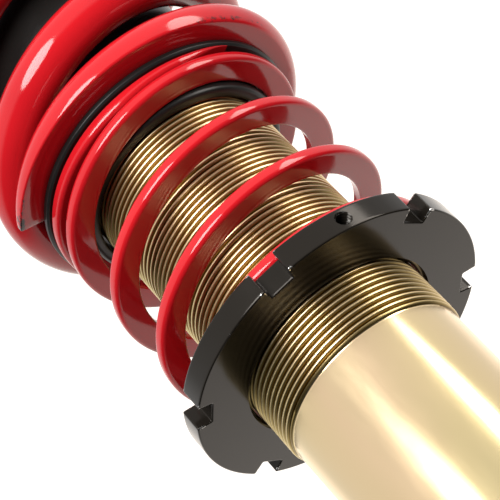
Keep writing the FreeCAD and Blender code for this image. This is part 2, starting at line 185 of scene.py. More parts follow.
class Look:
    """A node material with a few short helpers."""

    def __init__(self, name):
        self.material = bpy.data.materials.new(name)
        self.material.use_nodes = True
        self.nodes = self.material.node_tree.nodes
        self.links = self.material.node_tree.links
        self.shader = self.nodes["Principled BSDF"]
        self.place = self.nodes.new("ShaderNodeTexCoord").outputs["Object"]

    def fix(self, **values):
        for socket, value in values.items():
            self.shader.inputs[socket.replace("_", " ")].default_value = value

    def noise(self, scale, detail=3.0, rough=0.5, stretch=None):
        node = self.nodes.new("ShaderNodeTexNoise")
        node.inputs["Scale"].default_value = scale
        node.inputs["Detail"].default_value = detail
        node.inputs["Roughness"].default_value = rough
        source = self.place
        if stretch:
            mapping = self.nodes.new("ShaderNodeMapping")
            mapping.inputs["Scale"].default_value = stretch
            self.links.new(source, mapping.inputs["Vector"])
            source = mapping.outputs["Vector"]
        self.links.new(source, node.inputs["Vector"])
        return node.outputs["Fac"]

    def ramp(self, source, *stops):
        node = self.nodes.new("ShaderNodeValToRGB")
        while len(node.color_ramp.elements) < len(stops):
            node.color_ramp.elements.new(0.5)
        for element, (place, colour) in zip(node.color_ramp.elements, stops):
            element.position = place
            if not hasattr(colour, "__len__"):
                colour = (colour, colour, colour)
            element.color = (*colour, 1.0)
        self.links.new(source, node.inputs["Fac"])
        return node.outputs["Color"]

    def math(self, kind, first, second):
        node = self.nodes.new("ShaderNodeMath")
        node.operation = kind
        node.use_clamp = kind in ("MULTIPLY", "ADD")
        for socket, value in zip(node.inputs, (first, second)):
            if isinstance(value, (int, float)):
                socket.default_value = value
            else:
                self.links.new(value, socket)
        return node.outputs["Value"]

    def mix(self, share, first, second):
        node = self.nodes.new("ShaderNodeMix")
        node.data_type = "RGBA"
        for socket, value in ((node.inputs[0], share), (node.inputs[6], first), (node.inputs[7], second)):
            if isinstance(value, (int, float)):
                socket.default_value = value
            elif isinstance(value, tuple):
                socket.default_value = (*value, 1.0)
            else:
                self.links.new(value, socket)
        return node.outputs[2]

    def attribute(self, name):
        node = self.nodes.new("ShaderNodeAttribute")
        node.attribute_name = name
        return node.outputs["Fac"]

    def feed(self, socket, source):
        self.links.new(source, self.shader.inputs[socket])

    def bump(self, height, strength, distance):
        node = self.nodes.new("ShaderNodeBump")
        node.inputs["Strength"].default_value = strength
        node.inputs["Distance"].default_value = distance
        self.links.new(height, node.inputs["Height"])
        self.feed("Normal", node.outputs["Normal"])
        if "Coat Normal" in self.shader.inputs:
            self.links.new(node.outputs["Normal"], self.shader.inputs["Coat Normal"])


def zinc_tube_look():
    """Yellow-passivated zinc: pale gold with peach and green tints, and painted shade that darkens the
    thread roots to a deep brown.
    """
    look = Look("zinc_tube")
    look.fix(Metallic=1.0)
    tint = look.noise(18.0, 2.0, 0.5, (1.0, 1.0, 0.25))
    gold = look.ramp(tint, (0.34, (0.72, 0.60, 0.31)), (0.45, (0.79, 0.63, 0.34)),
                     (0.55, (0.85, 0.63, 0.39)), (0.66, (0.76, 0.61, 0.35)))
    fine = look.noise(900.0, 3.0, 0.6, (1.0, 1.0, 6.0))
    # Painted shade: the crest attribute darkens the thread roots towards near-black and shades the flanks,
    # standing in for the shade in the thread valleys.
    painted_root_shade = look.ramp(look.attribute("crest"), (0.0, (0.055, 0.036, 0.008)), (0.45, (0.30, 0.26, 0.13)),
                     (0.85, (0.72, 0.72, 0.56)), (1.0, (1.0, 1.0, 1.0)))
    multiply = look.nodes.new("ShaderNodeMix")
    multiply.data_type = "RGBA"
    multiply.blend_type = "MULTIPLY"
    multiply.inputs[0].default_value = 1.0
    look.links.new(gold, multiply.inputs[6])
    look.links.new(painted_root_shade, multiply.inputs[7])
    look.feed("Base Color", multiply.outputs[2])
    smooth = look.ramp(look.noise(90.0, 5.0, 0.7, (1.0, 1.0, 0.2)), (0.35, 0.15), (0.7, 0.27))
    look.feed("Roughness", look.mix(look.attribute("threaded"), smooth, (0.33, 0.33, 0.33)))
    look.bump(fine, 0.05, 0.00005)
    return look.material


def spring_paint_look():
    """Glossy red powder coat with faint orange peel, and worn black at the ground tip."""
    look = Look("spring_paint")
    worn = look.ramp(look.math("MULTIPLY", look.attribute("wear"), look.noise(700.0, 6.0, 0.75)),
                     (0.36, 0.0), (0.46, 1.0))
    shade = look.ramp(look.noise(30.0, 2.0), (0.3, (0.37, 0.006, 0.010)), (0.7, (0.43, 0.008, 0.012)))
    look.feed("Base Color", look.mix(worn, shade, (0.02, 0.012, 0.012)))
    look.feed("Roughness", look.ramp(look.noise(240.0, 3.0), (0.3, 0.07), (0.7, 0.12)))
    look.fix(Specular_IOR_Level=0.46)
    look.bump(look.noise(520.0, 1.5, 0.4), 0.06, 0.00012)
    return look.material


def anodised_look():
    """Satin black anodised aluminium with bare metal nicks along worn edges."""
    look = Look("black_anodise")
    bare = look.ramp(look.math("MULTIPLY", look.attribute("edge"), look.noise(800.0, 5.0, 0.7)),
                     (0.49, 0.0), (0.52, 1.0))
    scuff = look.ramp(look.noise(1100.0, 6.0, 0.8, (0.4, 1.0, 1.0)), (0.66, 0.0), (0.78, 0.30))
    dark = look.mix(scuff, (0.0085, 0.0070, 0.0055), (0.07, 0.066, 0.06))
    look.feed("Base Color", look.mix(bare, dark, (0.72, 0.71, 0.69)))
    look.feed("Metallic", bare)
    look.feed("Roughness", look.ramp(look.noise(160.0, 4.0, 0.6), (0.3, 0.12), (0.7, 0.18)))
    grazing = look.nodes.new("ShaderNodeLayerWeight")
    grazing.inputs["Blend"].default_value = 0.5
    look.feed("Specular IOR Level", look.ramp(grazing.outputs["Facing"], (0.45, 0.20), (0.85, 1.0)))
    look.fix(Specular_Tint=(1.0, 0.93, 0.85, 1.0))
    look.bump(look.noise(2600.0, 3.0, 0.6), 0.10, 0.00004)
    return look.material


def plain_look(name, colour, rough, metallic=0.0, grain=1500.0, depth=0.1, spread=0.08, **extra):
    """A surface with a slightly uneven colour, gloss and grain."""
    look = Look(name)
    low = tuple(channel * (1 - spread) for channel in colour)
    high = tuple(min(channel * (1 + spread), 1.0) for channel in colour)
    look.feed("Base Color", look.ramp(look.noise(45.0, 4.0, 0.6), (0.3, low), (0.7, high)))
    look.feed("Roughness", look.ramp(look.noise(130.0, 4.0, 0.6), (0.3, rough * 0.85), (0.7, rough * 1.15)))
    look.fix(Metallic=metallic, **extra)
    look.bump(look.noise(grain, 4.0, 0.6), depth, 0.00005)
    return look.material


LOOKS = {
    "zinc_tube": zinc_tube_look(),
    "spring_paint": spring_paint_look(),
    "black_anodise": anodised_look(),
    "black_plastic": plain_look("black_plastic", (0.008, 0.0075, 0.007), 0.36, grain=2200.0,
                                Specular_IOR_Level=0.35),
    "black_rubber": plain_look("black_rubber", (0.006, 0.0055, 0.005), 0.24, grain=1800.0, depth=0.1,
                               Specular_IOR_Level=0.18),
    "black_steel": plain_look("black_steel", (0.022, 0.022, 0.023), 0.38, grain=900.0, depth=0.25),
    "zinc_steel": plain_look("zinc_steel", (0.62, 0.63, 0.64), 0.32, 1.0, grain=1200.0, depth=0.04),
    "chrome_rod": plain_look("chrome_rod", (0.80, 0.80, 0.81), 0.07, 1.0, grain=3000.0, depth=0.03),
    "bearing_steel": plain_look("bearing_steel", (0.62, 0.63, 0.65), 0.14, 1.0),
    "bump_foam": plain_look("bump_foam", (0.62, 0.50, 0.20), 0.75, grain=2600.0, depth=0.5, spread=0.2),
    "seal_rubber": plain_look("seal_rubber", (0.03, 0.03, 0.03), 0.55),
    "piston_alloy": plain_look("piston_alloy", (0.66, 0.67, 0.69), 0.33, 1.0),
    "band_plastic": plain_look("band_plastic", (0.06, 0.15, 0.10), 0.45),
}

SLOTS = {part["node"]: part["material_slot"] for part in frame["record"]["subparts"]}
BODY_OF = {node: body for body, nodes in frame["record"]["behaviour"]["bodies"].items() for node in nodes}


def stand_for(obj, node):
    """This piece takes a CAD node's place and body; the node itself is hidden."""
    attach(obj, BODY_OF[node])
    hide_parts(node)
    return obj


# ---- strut tube -------------------------------------------------------------------------

THREAD_PITCH = 1.5
TUBE_RADIUS = 22.55
CREST_RADIUS = 23.25
TUBE_BORE = 19.5
THREAD_LOW = 136.0
THREAD_HIGH = 256.0
# One pitch of the thread: (share of the pitch, share of the depth).
THREAD_SHAPE = [(0.0, 0.0), (0.07, 0.10), (0.16, 0.52), (0.30, 0.86), (0.5, 1.0), (0.70, 0.86),
                (0.84, 0.52), (0.93, 0.10)]
THREAD_DEPTH = 0.80


def ease(value):
    value = min(max(value, 0.0), 1.0)
    return value * value * (3 - 2 * value)


def thread_grid(segments, shape, pitch, low, high, crest, depth, plain):
    """Rows of points that follow a right-hand helix, run out to a plain radius at both ends."""
    turns = math.ceil((high - low) / pitch) + 1
    rows = turns * len(shape)
    points = []
    for row in range(rows):
        share, raised = shape[row % len(shape)]
        for segment in range(segments):
            height = low - pitch + pitch * (row // len(shape) + share + segment / segments)
            fade = min(ease((height - low) / 1.3), ease((high - height) / 1.0))
            radius = plain + (crest - depth * (1 - raised) - plain) * fade
            height = min(max(height, low), high)
            angle = TAU * segment / segments
            points.append((radius * math.cos(angle), radius * math.sin(angle), height))
    faces = []
    for row in range(rows - 1):
        for segment in range(segments):
            if segment < segments - 1:
                right, above = row * segments + segment + 1, (row + 1) * segments + segment + 1
            elif row + 1 + len(shape) < rows:
                right = (row + len(shape)) * segments
                above = (row + 1 + len(shape)) * segments
            else:
                continue
            faces.append((row * segments + segment, right, above, (row + 1) * segments + segment))
    return points, faces


def make_strut_tube():
    segments = 160
    low, high, _ = span("strut_tube")
    points, faces = thread_grid(segments, THREAD_SHAPE, THREAD_PITCH, THREAD_LOW, THREAD_HIGH,
                                CREST_RADIUS, THREAD_DEPTH, TUBE_RADIUS - 0.05)
    rim = rounded([
        (TUBE_RADIUS - 0.05, THREAD_LOW), (TUBE_RADIUS, THREAD_LOW - 0.3), (TUBE_RADIUS, low, 0.9),
        (TUBE_BORE, low, 0.6), (TUBE_BORE, high, 0.4), (TUBE_RADIUS - 0.3, high, 0.6),
        (TUBE_RADIUS - 0.3, THREAD_HIGH), (TUBE_RADIUS - 0.05, THREAD_HIGH),
    ])
    add_rings(points, faces, rim, segments)
    tube = add_mesh("zinc_strut_tube", points, faces, LOOKS["zinc_tube"], sharp=62.0)

    # The crest attribute, 0 in a thread root and 1 on a crest, is the mask for the painted shade in the
    # thread roots.
    def crest(x, y, z):
        if not THREAD_LOW + 0.4 < z < THREAD_HIGH - 0.4:
            return 1.0
        return min(max((math.hypot(x, y) - CREST_RADIUS + THREAD_DEPTH) / THREAD_DEPTH, 0.0), 1.0)

    paint(tube, "crest", crest)
    paint(tube, "threaded", lambda x, y, z: 1.0 if THREAD_LOW + 0.4 < z < THREAD_HIGH - 0.4 else 0.0)
    return stand_for(tube, "strut_tube")


# ---- perch collar -----------------------------------------------------------------------

NOTCHES = 6
NOTCH_HALF = 3.0
NOTCH_DEPTH = 3.75
ARC_STEPS = 40
COLLAR_RADIUS = 37.5
COLLAR_BORE = 23.55
COLLAR_BEVEL = 0.32
GRUB_ANGLE = math.radians(30.4)


def collar_outline(radius):
    """The collar's rim as a closed outline: arcs between six filleted spanner notches."""
    corners = []
    floor = radius - NOTCH_DEPTH
    mouth = NOTCH_HALF + 0.35
    for notch in range(NOTCHES):
        turn = Matrix.Rotation(TAU * notch / NOTCHES, 2)
        edge = math.sqrt(radius ** 2 - mouth ** 2)
        shape = ((edge, -mouth, 0.35), (floor, -NOTCH_HALF, 0.3),
                 (floor, NOTCH_HALF, 0.3), (edge, mouth, 0.35))
        for x, y, fillet in shape:
            point = turn @ Vector((x, y))
            corners.append((point.x, point.y, fillet))
        start = math.atan2(mouth, edge)
        gap = TAU / NOTCHES - 2 * start
        for step in range(1, ARC_STEPS):
            angle = TAU * notch / NOTCHES + start + gap * step / ARC_STEPS
            corners.append((radius * math.cos(angle), radius * math.sin(angle), 0.0))
    outline = rounded(corners, 5)
    fine = []
    for here, after in zip(outline, outline[1:] + outline[:1]):
        steps = max(1, round(math.dist(here, after) / 0.7))
        for step in range(steps):
            share = step / steps
            fine.append((here[0] + (after[0] - here[0]) * share, here[1] + (after[1] - here[1]) * share))
    return fine


def inset(outline, distance):
    """The outline moved inwards along its own normals."""
    result = []
    count = len(outline)
    for index in range(count):
        before = Vector(outline[index - 1])
        after = Vector(outline[(index + 1) % count])
        along = (after - before).normalized()
        here = Vector(outline[index]) + Vector((-along.y, along.x)) * distance
        result.append((here.x, here.y))
    return result


def threaded_bar(name, angle, height, near, far, radius, pitch):
    """A threaded cutter along a radial line, used to tap the lock screw's hole."""
    shape = [(0.0, 0.0), (0.25, 0.4), (0.5, 1.0), (0.75, 0.4)]
    points, faces = thread_grid(40, shape, pitch, near, far, radius, 0.38, radius - 0.2)
    for end in (near, far):
        ring = [index for index, point in enumerate(points) if abs(point[2] - end) < 1e-9]
        hub = len(points)
        points.append((0.0, 0.0, end))
        by_angle = {}
        for index in ring:
            key = round(math.atan2(points[index][1], points[index][0]), 4)
            by_angle.setdefault(key, index)
        keys = sorted(by_angle)
        for first, second in zip(keys, keys[1:] + keys[:1]):
            faces.append((by_angle[first], by_angle[second], hub))
    bar = add_mesh(name, points, faces, LOOKS["black_anodise"])
    outward = Vector((math.cos(angle), math.sin(angle), 0.0))
    turn = outward.to_track_quat("Z", "Y").to_matrix().to_4x4()
    bar.data.transform(Matrix.Translation((0, 0, height * MM)) @ turn)
    return bar


def make_perch_collar():
    low, high, _ = span("perch_collar")
    bevel, chamfer, land = COLLAR_BEVEL, 0.9, 31.5
    bends = [math.pi / 2 * step / 3 for step in range(4)]
    outline = collar_outline(COLLAR_RADIUS)
    levels = [(bevel * (1 - math.sin(bend)), low + bevel * (1 - math.cos(bend))) for bend in bends]
    side_rows = (len(levels), len(levels) + 1)
    levels += [(0.0, low + 2 * bevel), (0.0, high - 2 * bevel)]
    levels += [(bevel * (1 - math.cos(bend)), high - bevel * (1 - math.sin(bend))) for bend in bends]
    loops = [[(x, y, height) for x, y in inset(outline, distance)] for distance, height in levels]
    rim = inset(outline, bevel + 0.04)
    # The inner loops follow the rim's angles, which must never turn back at a notch wall.
    rim_angles = []
    for x, y in rim:
        angle = math.atan2(y, x)
        if rim_angles:
            angle += TAU * round((rim_angles[-1] - angle) / TAU)
            angle = max(angle, rim_angles[-1])
        rim_angles.append(angle)

    def ring(reach, height):
        return [(reach * math.cos(angle), reach * math.sin(angle), height) for angle in rim_angles]

    loops.append([(x, y, high) for x, y in rim])
    loops += [ring(land, high), ring(COLLAR_BORE + chamfer, high), ring(COLLAR_BORE, high - chamfer)]
    loops += [ring(COLLAR_BORE, low + chamfer), ring(COLLAR_BORE + chamfer, low), ring(land, low)]
    loops.append([(x, y, low) for x, y in rim])
    count = len(outline)
    points = [point for loop in loops for point in loop]
    faces = []
    for row in range(len(loops)):
        other = (row + 1) % len(loops)
        for index in range(count):
            ahead = (index + 1) % count
            faces.append((row * count + index, row * count + ahead,
                          other * count + ahead, other * count + index))
    collar = add_mesh("notched_perch_collar", points, faces, LOOKS["black_anodise"], 40.0, merge=False)

    def edge(row, index):
        """How easily the anodising chips: most on the bevels beside a notch, nowhere off a bevel."""
        if row >= len(levels) or row in side_rows:
            return 0.0
        x, y = outline[index]
        across, turn = math.hypot(x, y), math.atan2(y, x)
        from_notch = abs(across * math.sin(turn - round(turn / (TAU / NOTCHES)) * TAU / NOTCHES))
        return 1.0 if 2.4 < from_notch < 4.4 and across > COLLAR_RADIUS - 2.5 else 0.74

    layer = collar.data.attributes.new("edge", "FLOAT", "POINT")
    for place, value in enumerate(layer.data):
        value.value = edge(*divmod(place, count))
    cutter = threaded_bar("tapped_hole", GRUB_ANGLE, (low + high) / 2, COLLAR_BORE - 2.0,
                          COLLAR_RADIUS + 2.0, 2.15, 0.8)
    cut = collar.modifiers.new("tapped_hole", "BOOLEAN")
    cut.operation = "DIFFERENCE"
    cut.solver = "EXACT"
    cut.object = cutter
    apply_modifier(collar, cut)
    bpy.data.objects.remove(cutter)
    tidy(collar, 40.0)
    return stand_for(collar, "perch_collar")


# ---- springs ----------------------------------------------------------------------------

def ramp_rise(turns, low_pitch, high_pitch, flat, ramp, total):
    """Height gained by a coil whose pitch is low at both ends and high between."""
    def opened(done):
        past = max(done - flat, 0.0)
        return past ** 2 / (2 * ramp) if past < ramp else past - ramp / 2

    middle = total / 2
    gained = opened(turns) if turns <= middle else 2 * opened(middle) - opened(total - turns)
    return low_pitch * turns + (high_pitch - low_pitch) * gained


def coil(name, mean, start_angle, turns, per_turn, height_at, section_at, material, sharp=40.0):
    """A wire wound right-handed about the axis. section_at(turn, height) gives (out, up) points."""
    rings = int(turns * per_turn) + 1
    points = []
    count = 0
    for ring in range(rings):
        done = turns * ring / (rings - 1)
        angle = start_angle + TAU * done
        height = height_at(done)
        section = section_at(done, height)
        count = len(section)
        for out, up in section:
            points.append(((mean + out) * math.cos(angle), (mean + out) * math.sin(angle), height + up))
    faces = []
    for ring in range(rings - 1):
        for index in range(count):
            ahead = (index + 1) % count
            faces.append((ring * count + index, (ring + 1) * count + index,
                          (ring + 1) * count + ahead, ring * count + ahead))
    faces.append(tuple(range(count)))
    faces.append(tuple(reversed(range((rings - 1) * count, rings * count))))
    return add_mesh(name, points, faces, material, sharp)


def make_helper_spring():
    low, high, _ = span("helper_spring")
    inner, outer, wire = 27.1, 33.5, 3.3
    turns, wound = 4.96, 4.8
    closed_pitch, open_pitch = 1.6, 18.67
    flat, ramp = 0.74, 0.3
    taper, least, gap, closes = 0.06, 0.12, 0.08, 27.0
    mean = (inner + outer) / 2
    half = (outer - inner) / 2

    def height_at(done):
        return low + 0.2 + ramp_rise(done, closed_pitch, open_pitch, flat, ramp, wound)

    def section_at(done, height):
        lower = max(-wire / 2, low + 0.02 - height)
        upper = min(wire / 2, high - 0.02 - height)
        thin = least + (1 - least) * ease(min(done, turns - done) / taper)
        if done > turns - 1:
            lower = max(lower, height_at(done - 1) + wire / 2 + gap - height)
            lower = upper - (upper - lower) * thin
        elif done < 1:
            upper = min(upper, height_at(done + 1) - wire / 2 - gap - height)
            upper = lower + (upper - lower) * thin
        crown = min(1.15, (upper - lower) * 0.45)
        corners = [(-half, lower, 0.5), (half, lower, crown), (half, upper, crown), (-half, upper, 0.5)]
        return rounded(corners, 6)

    spring = coil("helper_spring_wire", mean, math.radians(71), turns, 110, height_at, section_at,
                  LOOKS["spring_paint"], 50.0)
    paint(spring, "wear", lambda x, y, z: 0.0)
    stand_for(spring, "helper_spring")
    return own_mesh(spring)


def make_main_spring():
    low, high, _ = span("main_spring")
    mean, wire = 34.0, 6.0
    turns = 6.317
    start = math.radians(-63)
    closed_pitch, open_pitch = 9.0, 28.67
    flat, ramp = 0.31, 0.9
    ground, tip_lift, closes = 0.6, 1.6, 33.0
    lean, lean_side = 1.8, math.radians(75)
    arc_steps = 18

    def height_at(done):
        free = ease(min(done, turns - done) / 0.5)
        rise = tip_lift * (1 - ease(done / 0.4))
        rise += ramp_rise(done, closed_pitch, open_pitch, flat, ramp, turns)
        return low - ground + rise + lean * free * math.cos(start + TAU * done - lean_side)

    def section_at(done, height):
        floor = max(-wire, low - height)
        roof = min(wire, high - height)
        first = math.asin(floor / wire)
        last = math.asin(roof / wire)
        points = []
        for step in range(arc_steps + 1):
            bend = first + (last - first) * step / arc_steps
            points.append((wire * math.cos(bend), wire * math.sin(bend)))
        across = wire * math.cos(last)
        points += [(across * (1 - step / 2), wire * math.sin(last)) for step in range(1, 4)]
        for step in range(1, arc_steps + 1):
            bend = last + (first - last) * step / arc_steps
            points.append((-wire * math.cos(bend), wire * math.sin(bend)))
        across = wire * math.cos(first)
        points += [(-across * (1 - step / 2), wire * math.sin(first)) for step in range(1, 4)]
        thin = 0.85 + 0.15 * ease(min(done, turns - done) / 0.15)
        if done > 1:
            return [(out, roof - (roof - up) * thin) for out, up in points]
        return [(out, floor + (up - floor) * thin) for out, up in points]

    spring = coil("main_spring_wire", mean, start, turns, 120, height_at, section_at,
                  LOOKS["spring_paint"], 28.0)
    bevel = spring.modifiers.new("ground_edge", "BEVEL")
    bevel.limit_method = "ANGLE"
    bevel.angle_limit = math.radians(32)
    bevel.width = 0.35 * MM
    bevel.segments = 2
    apply_modifier(spring, bevel)
    tidy(spring, 40.0)

    def wear(x, y, z):
        if z > low + 1.5:
            return 0.0
        turn = (math.atan2(y, x) - start) % TAU
        edge = max(0.0, 1 - abs(math.hypot(x, y) - mean - 5.3) / 2.4)
        tip = max(0.0, 1.25 - turn / 0.6)
        return edge * max(tip, 0.80 if 1.8 < turn < 3.0 else 0.0)

    paint(spring, "wear", wear)
    stand_for(spring, "main_spring")
    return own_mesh(spring)


def make_divider_ring():
    low, high, _ = span("divider_ring")
    seat_gap = 0.05
    flange_low = span("helper_spring")[1] + seat_gap
    flange_high = span("main_spring")[0] - seat_gap
    ring = lathe("divider_ring_body", [
        (23.9, low, 0.8), (26.8, low, 1.2), (26.8, flange_low, 0.4), (33.4, flange_low, 0.3),
        (33.9, flange_low + 0.5, 0.3), (33.9, flange_high, 0.25), (27.8, flange_high, 0.4),
        (27.8, high, 0.8), (26.0, high, 0.5),
        (26.0, flange_high, 0.4), (23.9, flange_high, 0.5),
    ], LOOKS["black_plastic"], 192)
    return stand_for(ring, "divider_ring")


def make_dust_boot():
    low, high, _ = span("dust_boot")
    folds, fold_pitch, closes = 8, 8.0, 60.0
    outer = [(25.6, low, 0.4)]
    inner = [(24.3, low, 0.4)]
    fold_low = low + 60
    for index in range(folds):
        base = fold_low + index * fold_pitch
        outer += [(25.6, base, 1.6), (24.5, base + 4, 1.6)]
        inner += [(24.3, base, 1.2), (23.3, base + 4, 1.2)]
    outer += [(24.45, fold_low + folds * fold_pitch, 0.6), (24.45, high, 0.3)]
    inner += [(23.3, high, 0.3)]
    boot = lathe("dust_boot_sleeve", outer + inner[::-1], LOOKS["black_rubber"], 144)
    stand_for(boot, "dust_boot")
    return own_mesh(boot)


# ---- perch lock screw -------------------------------------------------------------------

def hexagon(across_flats, angle):
    """Reach of a hexagon's side at an angle."""
    return across_flats / 2 / math.cos((angle + math.pi / 6) % (math.pi / 3) - math.pi / 6)


def make_grub_screw():
    """A set screw with a hexagon socket and a cut thread, lying along the tapped hole."""
    collar_low, collar_high, _ = span("perch_collar")
    near, far = 24.95, 34.1
    radius, core, tip = 1.8, 1.55, 0.9
    socket, socket_end = 1.8, far - 2.0
    segments = 48
    shape = [(0.0, 0.0), (0.25, 0.5), (0.5, 1.0), (0.75, 0.5)]
    points, faces = thread_grid(segments, shape, 0.7, near + 0.1, far - 0.1, radius, 0.35, core)
    point = add_rings(points, faces, [(tip, near), (core, near + 0.1)], segments)
    add_rings(points, faces, [
        (core, far - 0.1), (radius - 0.45, far), (lambda angle: hexagon(socket, angle) + 0.08, far),
        (lambda angle: hexagon(socket, angle), far - 0.1),
        (lambda angle: hexagon(socket, angle), socket_end), (0.01, socket_end - 0.3)], segments)
    faces.append(tuple(range(point, point + segments))[::-1])
    screw = add_mesh("perch_lock_screw", points, faces, LOOKS["black_steel"], 40.0)
    outward = Vector((math.cos(GRUB_ANGLE), math.sin(GRUB_ANGLE), 0.0))
    turn = outward.to_track_quat("Z", "Y").to_matrix().to_4x4()
    screw.data.transform(Matrix.Translation((0, 0, (collar_low + collar_high) / 2 * MM)) @ turn)
    return stand_for(screw, "grub_screw")


# ---- fasteners --------------------------------------------------------------------------

def threaded_post(name, across, up, low, high, radius, pitch, look):
    """An upright threaded bar with a chamfered tip, at (across, up) in plan."""
    segments = 48
    shape = [(0.0, 0.0), (0.12, 0.1), (0.38, 0.9), (0.5, 1.0), (0.62, 0.9), (0.88, 0.1)]
    depth = 0.55 * pitch
    points, faces = thread_grid(segments, shape, pitch, low, high - 0.8, radius, depth, radius - depth)
    cap = [(radius - depth, high - 0.8), (radius - depth - 0.6, high), (0.001, high)]
    foot = [(0.001, low), (radius - depth, low)]
    add_rings(points, faces, cap, segments)
    add_rings(points, faces, foot, segments)
    moved = [(x + across, y + up, z) for x, y, z in points]
    return add_mesh(name, moved, faces, look, 50.0)


def hex_nut(name, low, high, corner, bore, look):
    """A hexagonal nut on the axis, its corners turned down at both ends."""
    flats = corner * math.sqrt(3)
    segments = 144
    edge = flats / 2 - 0.3
    slope = math.tan(math.radians(28))

    def droop(angle):
        return max(0.0, hexagon(flats, angle) - edge) * slope

    rows = [(lambda a: bore, lambda a: low + 0.8), (lambda a: bore + 0.8, lambda a: low),
            (lambda a: edge, lambda a: low), (lambda a: hexagon(flats, a), lambda a: low + droop(a)),
            (lambda a: hexagon(flats, a), lambda a: high - droop(a)), (lambda a: edge, lambda a: high),
            (lambda a: bore + 0.8, lambda a: high), (lambda a: bore, lambda a: high - 0.8)]
    points = []
    for reach, height in rows:
        for segment in range(segments):
            angle = TAU * segment / segments
            points.append((reach(angle) * math.cos(angle), reach(angle) * math.sin(angle), height(angle)))
    faces = []
    for row in range(len(rows)):
        other = (row + 1) % len(rows)
        for segment in range(segments):
            ahead = (segment + 1) % segments
            faces.append((row * segments + segment, row * segments + ahead,
                          other * segments + ahead, other * segments + segment))
    return add_mesh(name, points, faces, look, 22.0)


def joined(name, pieces):
    """Several meshes made into one piece."""
    target = pieces[0]
    work = bmesh.new()
    for piece in pieces:
        work.from_mesh(piece.data)
    work.to_mesh(target.data)
    work.free()
    for piece in pieces[1:]:
        bpy.data.objects.remove(piece)
    target.name = name
    tidy(target, 40.0)
    return target


# ---- top mount ---------------------------------------------------------------------------

def make_top_mount():
    steel, rubber, zinc = LOOKS["black_steel"], LOOKS["black_rubber"], LOOKS["zinc_steel"]
    plate_low, plate_high, plate_radius = span("mount_plate")
    boss_low, boss_high, boss_foot = span("mount_boss")
    bush_low, bush_high, bush_radius = span("mount_bush")
    core_low, core_high, core_radius = span("mount_core")
    washer_low, washer_high, washer_radius = span("rod_washer")
    nut_low, nut_high, _ = span("rod_nut")
    rod_low, rod_high, rod_radius = span("piston_rod")
    stud_low, stud_high, _ = span("tower_studs")
    boss_bore = bush_radius + 0.05
    core_bore = 6.1
    stand_for(lathe("top_mount_plate", [
        (boss_foot, plate_low, 0.3), (plate_radius, plate_low, 1.2), (plate_radius, plate_high, 1.6),
        (boss_foot, plate_high, 0.3)], steel, 192), "mount_plate")
    stand_for(lathe("top_mount_boss", [
        (boss_bore, boss_low, 0.6), (boss_foot, boss_low, 0.3), (boss_foot, plate_high + 0.2, 2.5),
        (boss_foot - 1.2, plate_high + 2.2, 1.5), (boss_foot - 4.0, boss_high, 2.4),
        (boss_bore, boss_high, 0.6)], steel, 192), "mount_boss")
    stand_for(lathe("top_mount_bush", [
        (core_radius + 0.05, bush_low, 0.6), (core_radius + 4, bush_low + 2.0, 2.0),
        (bush_radius - 2, bush_low + 0.6, 1.5), (bush_radius, bush_low, 0.4), (bush_radius, bush_high, 0.8),
        (bush_radius - 2.5, bush_high, 1.5), (bush_radius - 5, bush_high - 2.5, 2.0),
        (core_radius + 3, bush_high - 2.5, 2.0), (core_radius + 0.05, bush_high, 0.6)],
        rubber), "mount_bush")
    stand_for(lathe("top_mount_core", [
        (core_bore, core_low, 0.4), (core_radius, core_low, 0.8), (core_radius, core_high, 0.5),
        (core_bore, core_high, 0.4)], zinc), "mount_core")
    stand_for(lathe("rod_top_washer", [
        (core_bore, washer_low, 0.3), (washer_radius, washer_low, 0.5), (washer_radius, washer_high, 0.9),
        (core_bore, washer_high, 0.4)], zinc), "rod_washer")
    stand_for(hex_nut("rod_top_nut", nut_low, nut_high, 10.9, 6.05, zinc), "rod_nut")
    studs = []
    stud_count, stud_circle = 3, 46.0
    for stud in range(stud_count):
        angle = math.pi / 2 + TAU * stud / stud_count
        studs.append(threaded_post(f"stud_{stud}", stud_circle * math.cos(angle),
                                   stud_circle * math.sin(angle), stud_low, stud_high, 4.0, 1.25, zinc))
    stand_for(joined("tower_mount_studs", studs), "tower_studs")
    rod = lathe("chromed_piston_rod", [
        (0.0, rod_low), (4.6, rod_low, 0.4), (5.0, rod_low + 1.0, 0.2), (5.0, rod_low + 22, 0.2),
        (rod_radius, rod_low + 22, 0.5), (rod_radius, core_low - 0.05, 0.6), (5.4, core_low - 0.05, 0.3),
        (5.4, nut_high - 2), (0.0, nut_high - 2)], LOOKS["chrome_rod"], 96)
    tip = threaded_post("rod_thread", 0.0, 0.0, nut_high - 4, rod_high, 6.0, 1.25, LOOKS["chrome_rod"])
    shoulder = lathe("rod_shoulder", [
        (0.0, core_low - 0.05), (6.0, core_low - 0.05, 0.1), (6.0, nut_high - 3.5, 0.3),
        (0.0, nut_high - 3.5)], LOOKS["chrome_rod"], 96)
    stand_for(joined("chromed_piston_rod", [rod, shoulder, tip]), "piston_rod")
    bump_low, bump_high, bump_radius = span("bump_stop")
    bore = rod_radius + 0.2
    stand_for(lathe("foam_bump_stop", [
        (bore, bump_low, 1.0), (12.6, bump_low, 2.0), (17.0, bump_low + 6.5, 3.5),
        (13.6, bump_low + 14, 2.5),
        (18.5, bump_low + 22, 3.5), (14.6, bump_low + 30, 2.5), (bump_radius, bump_low + 38, 3.0),
        (bump_radius, bump_high, 1.5), (bore, bump_high, 0.8)], LOOKS["bump_foam"]), "bump_stop")


# ---- upper seat, bearing and tube ends ----------------------------------------------------

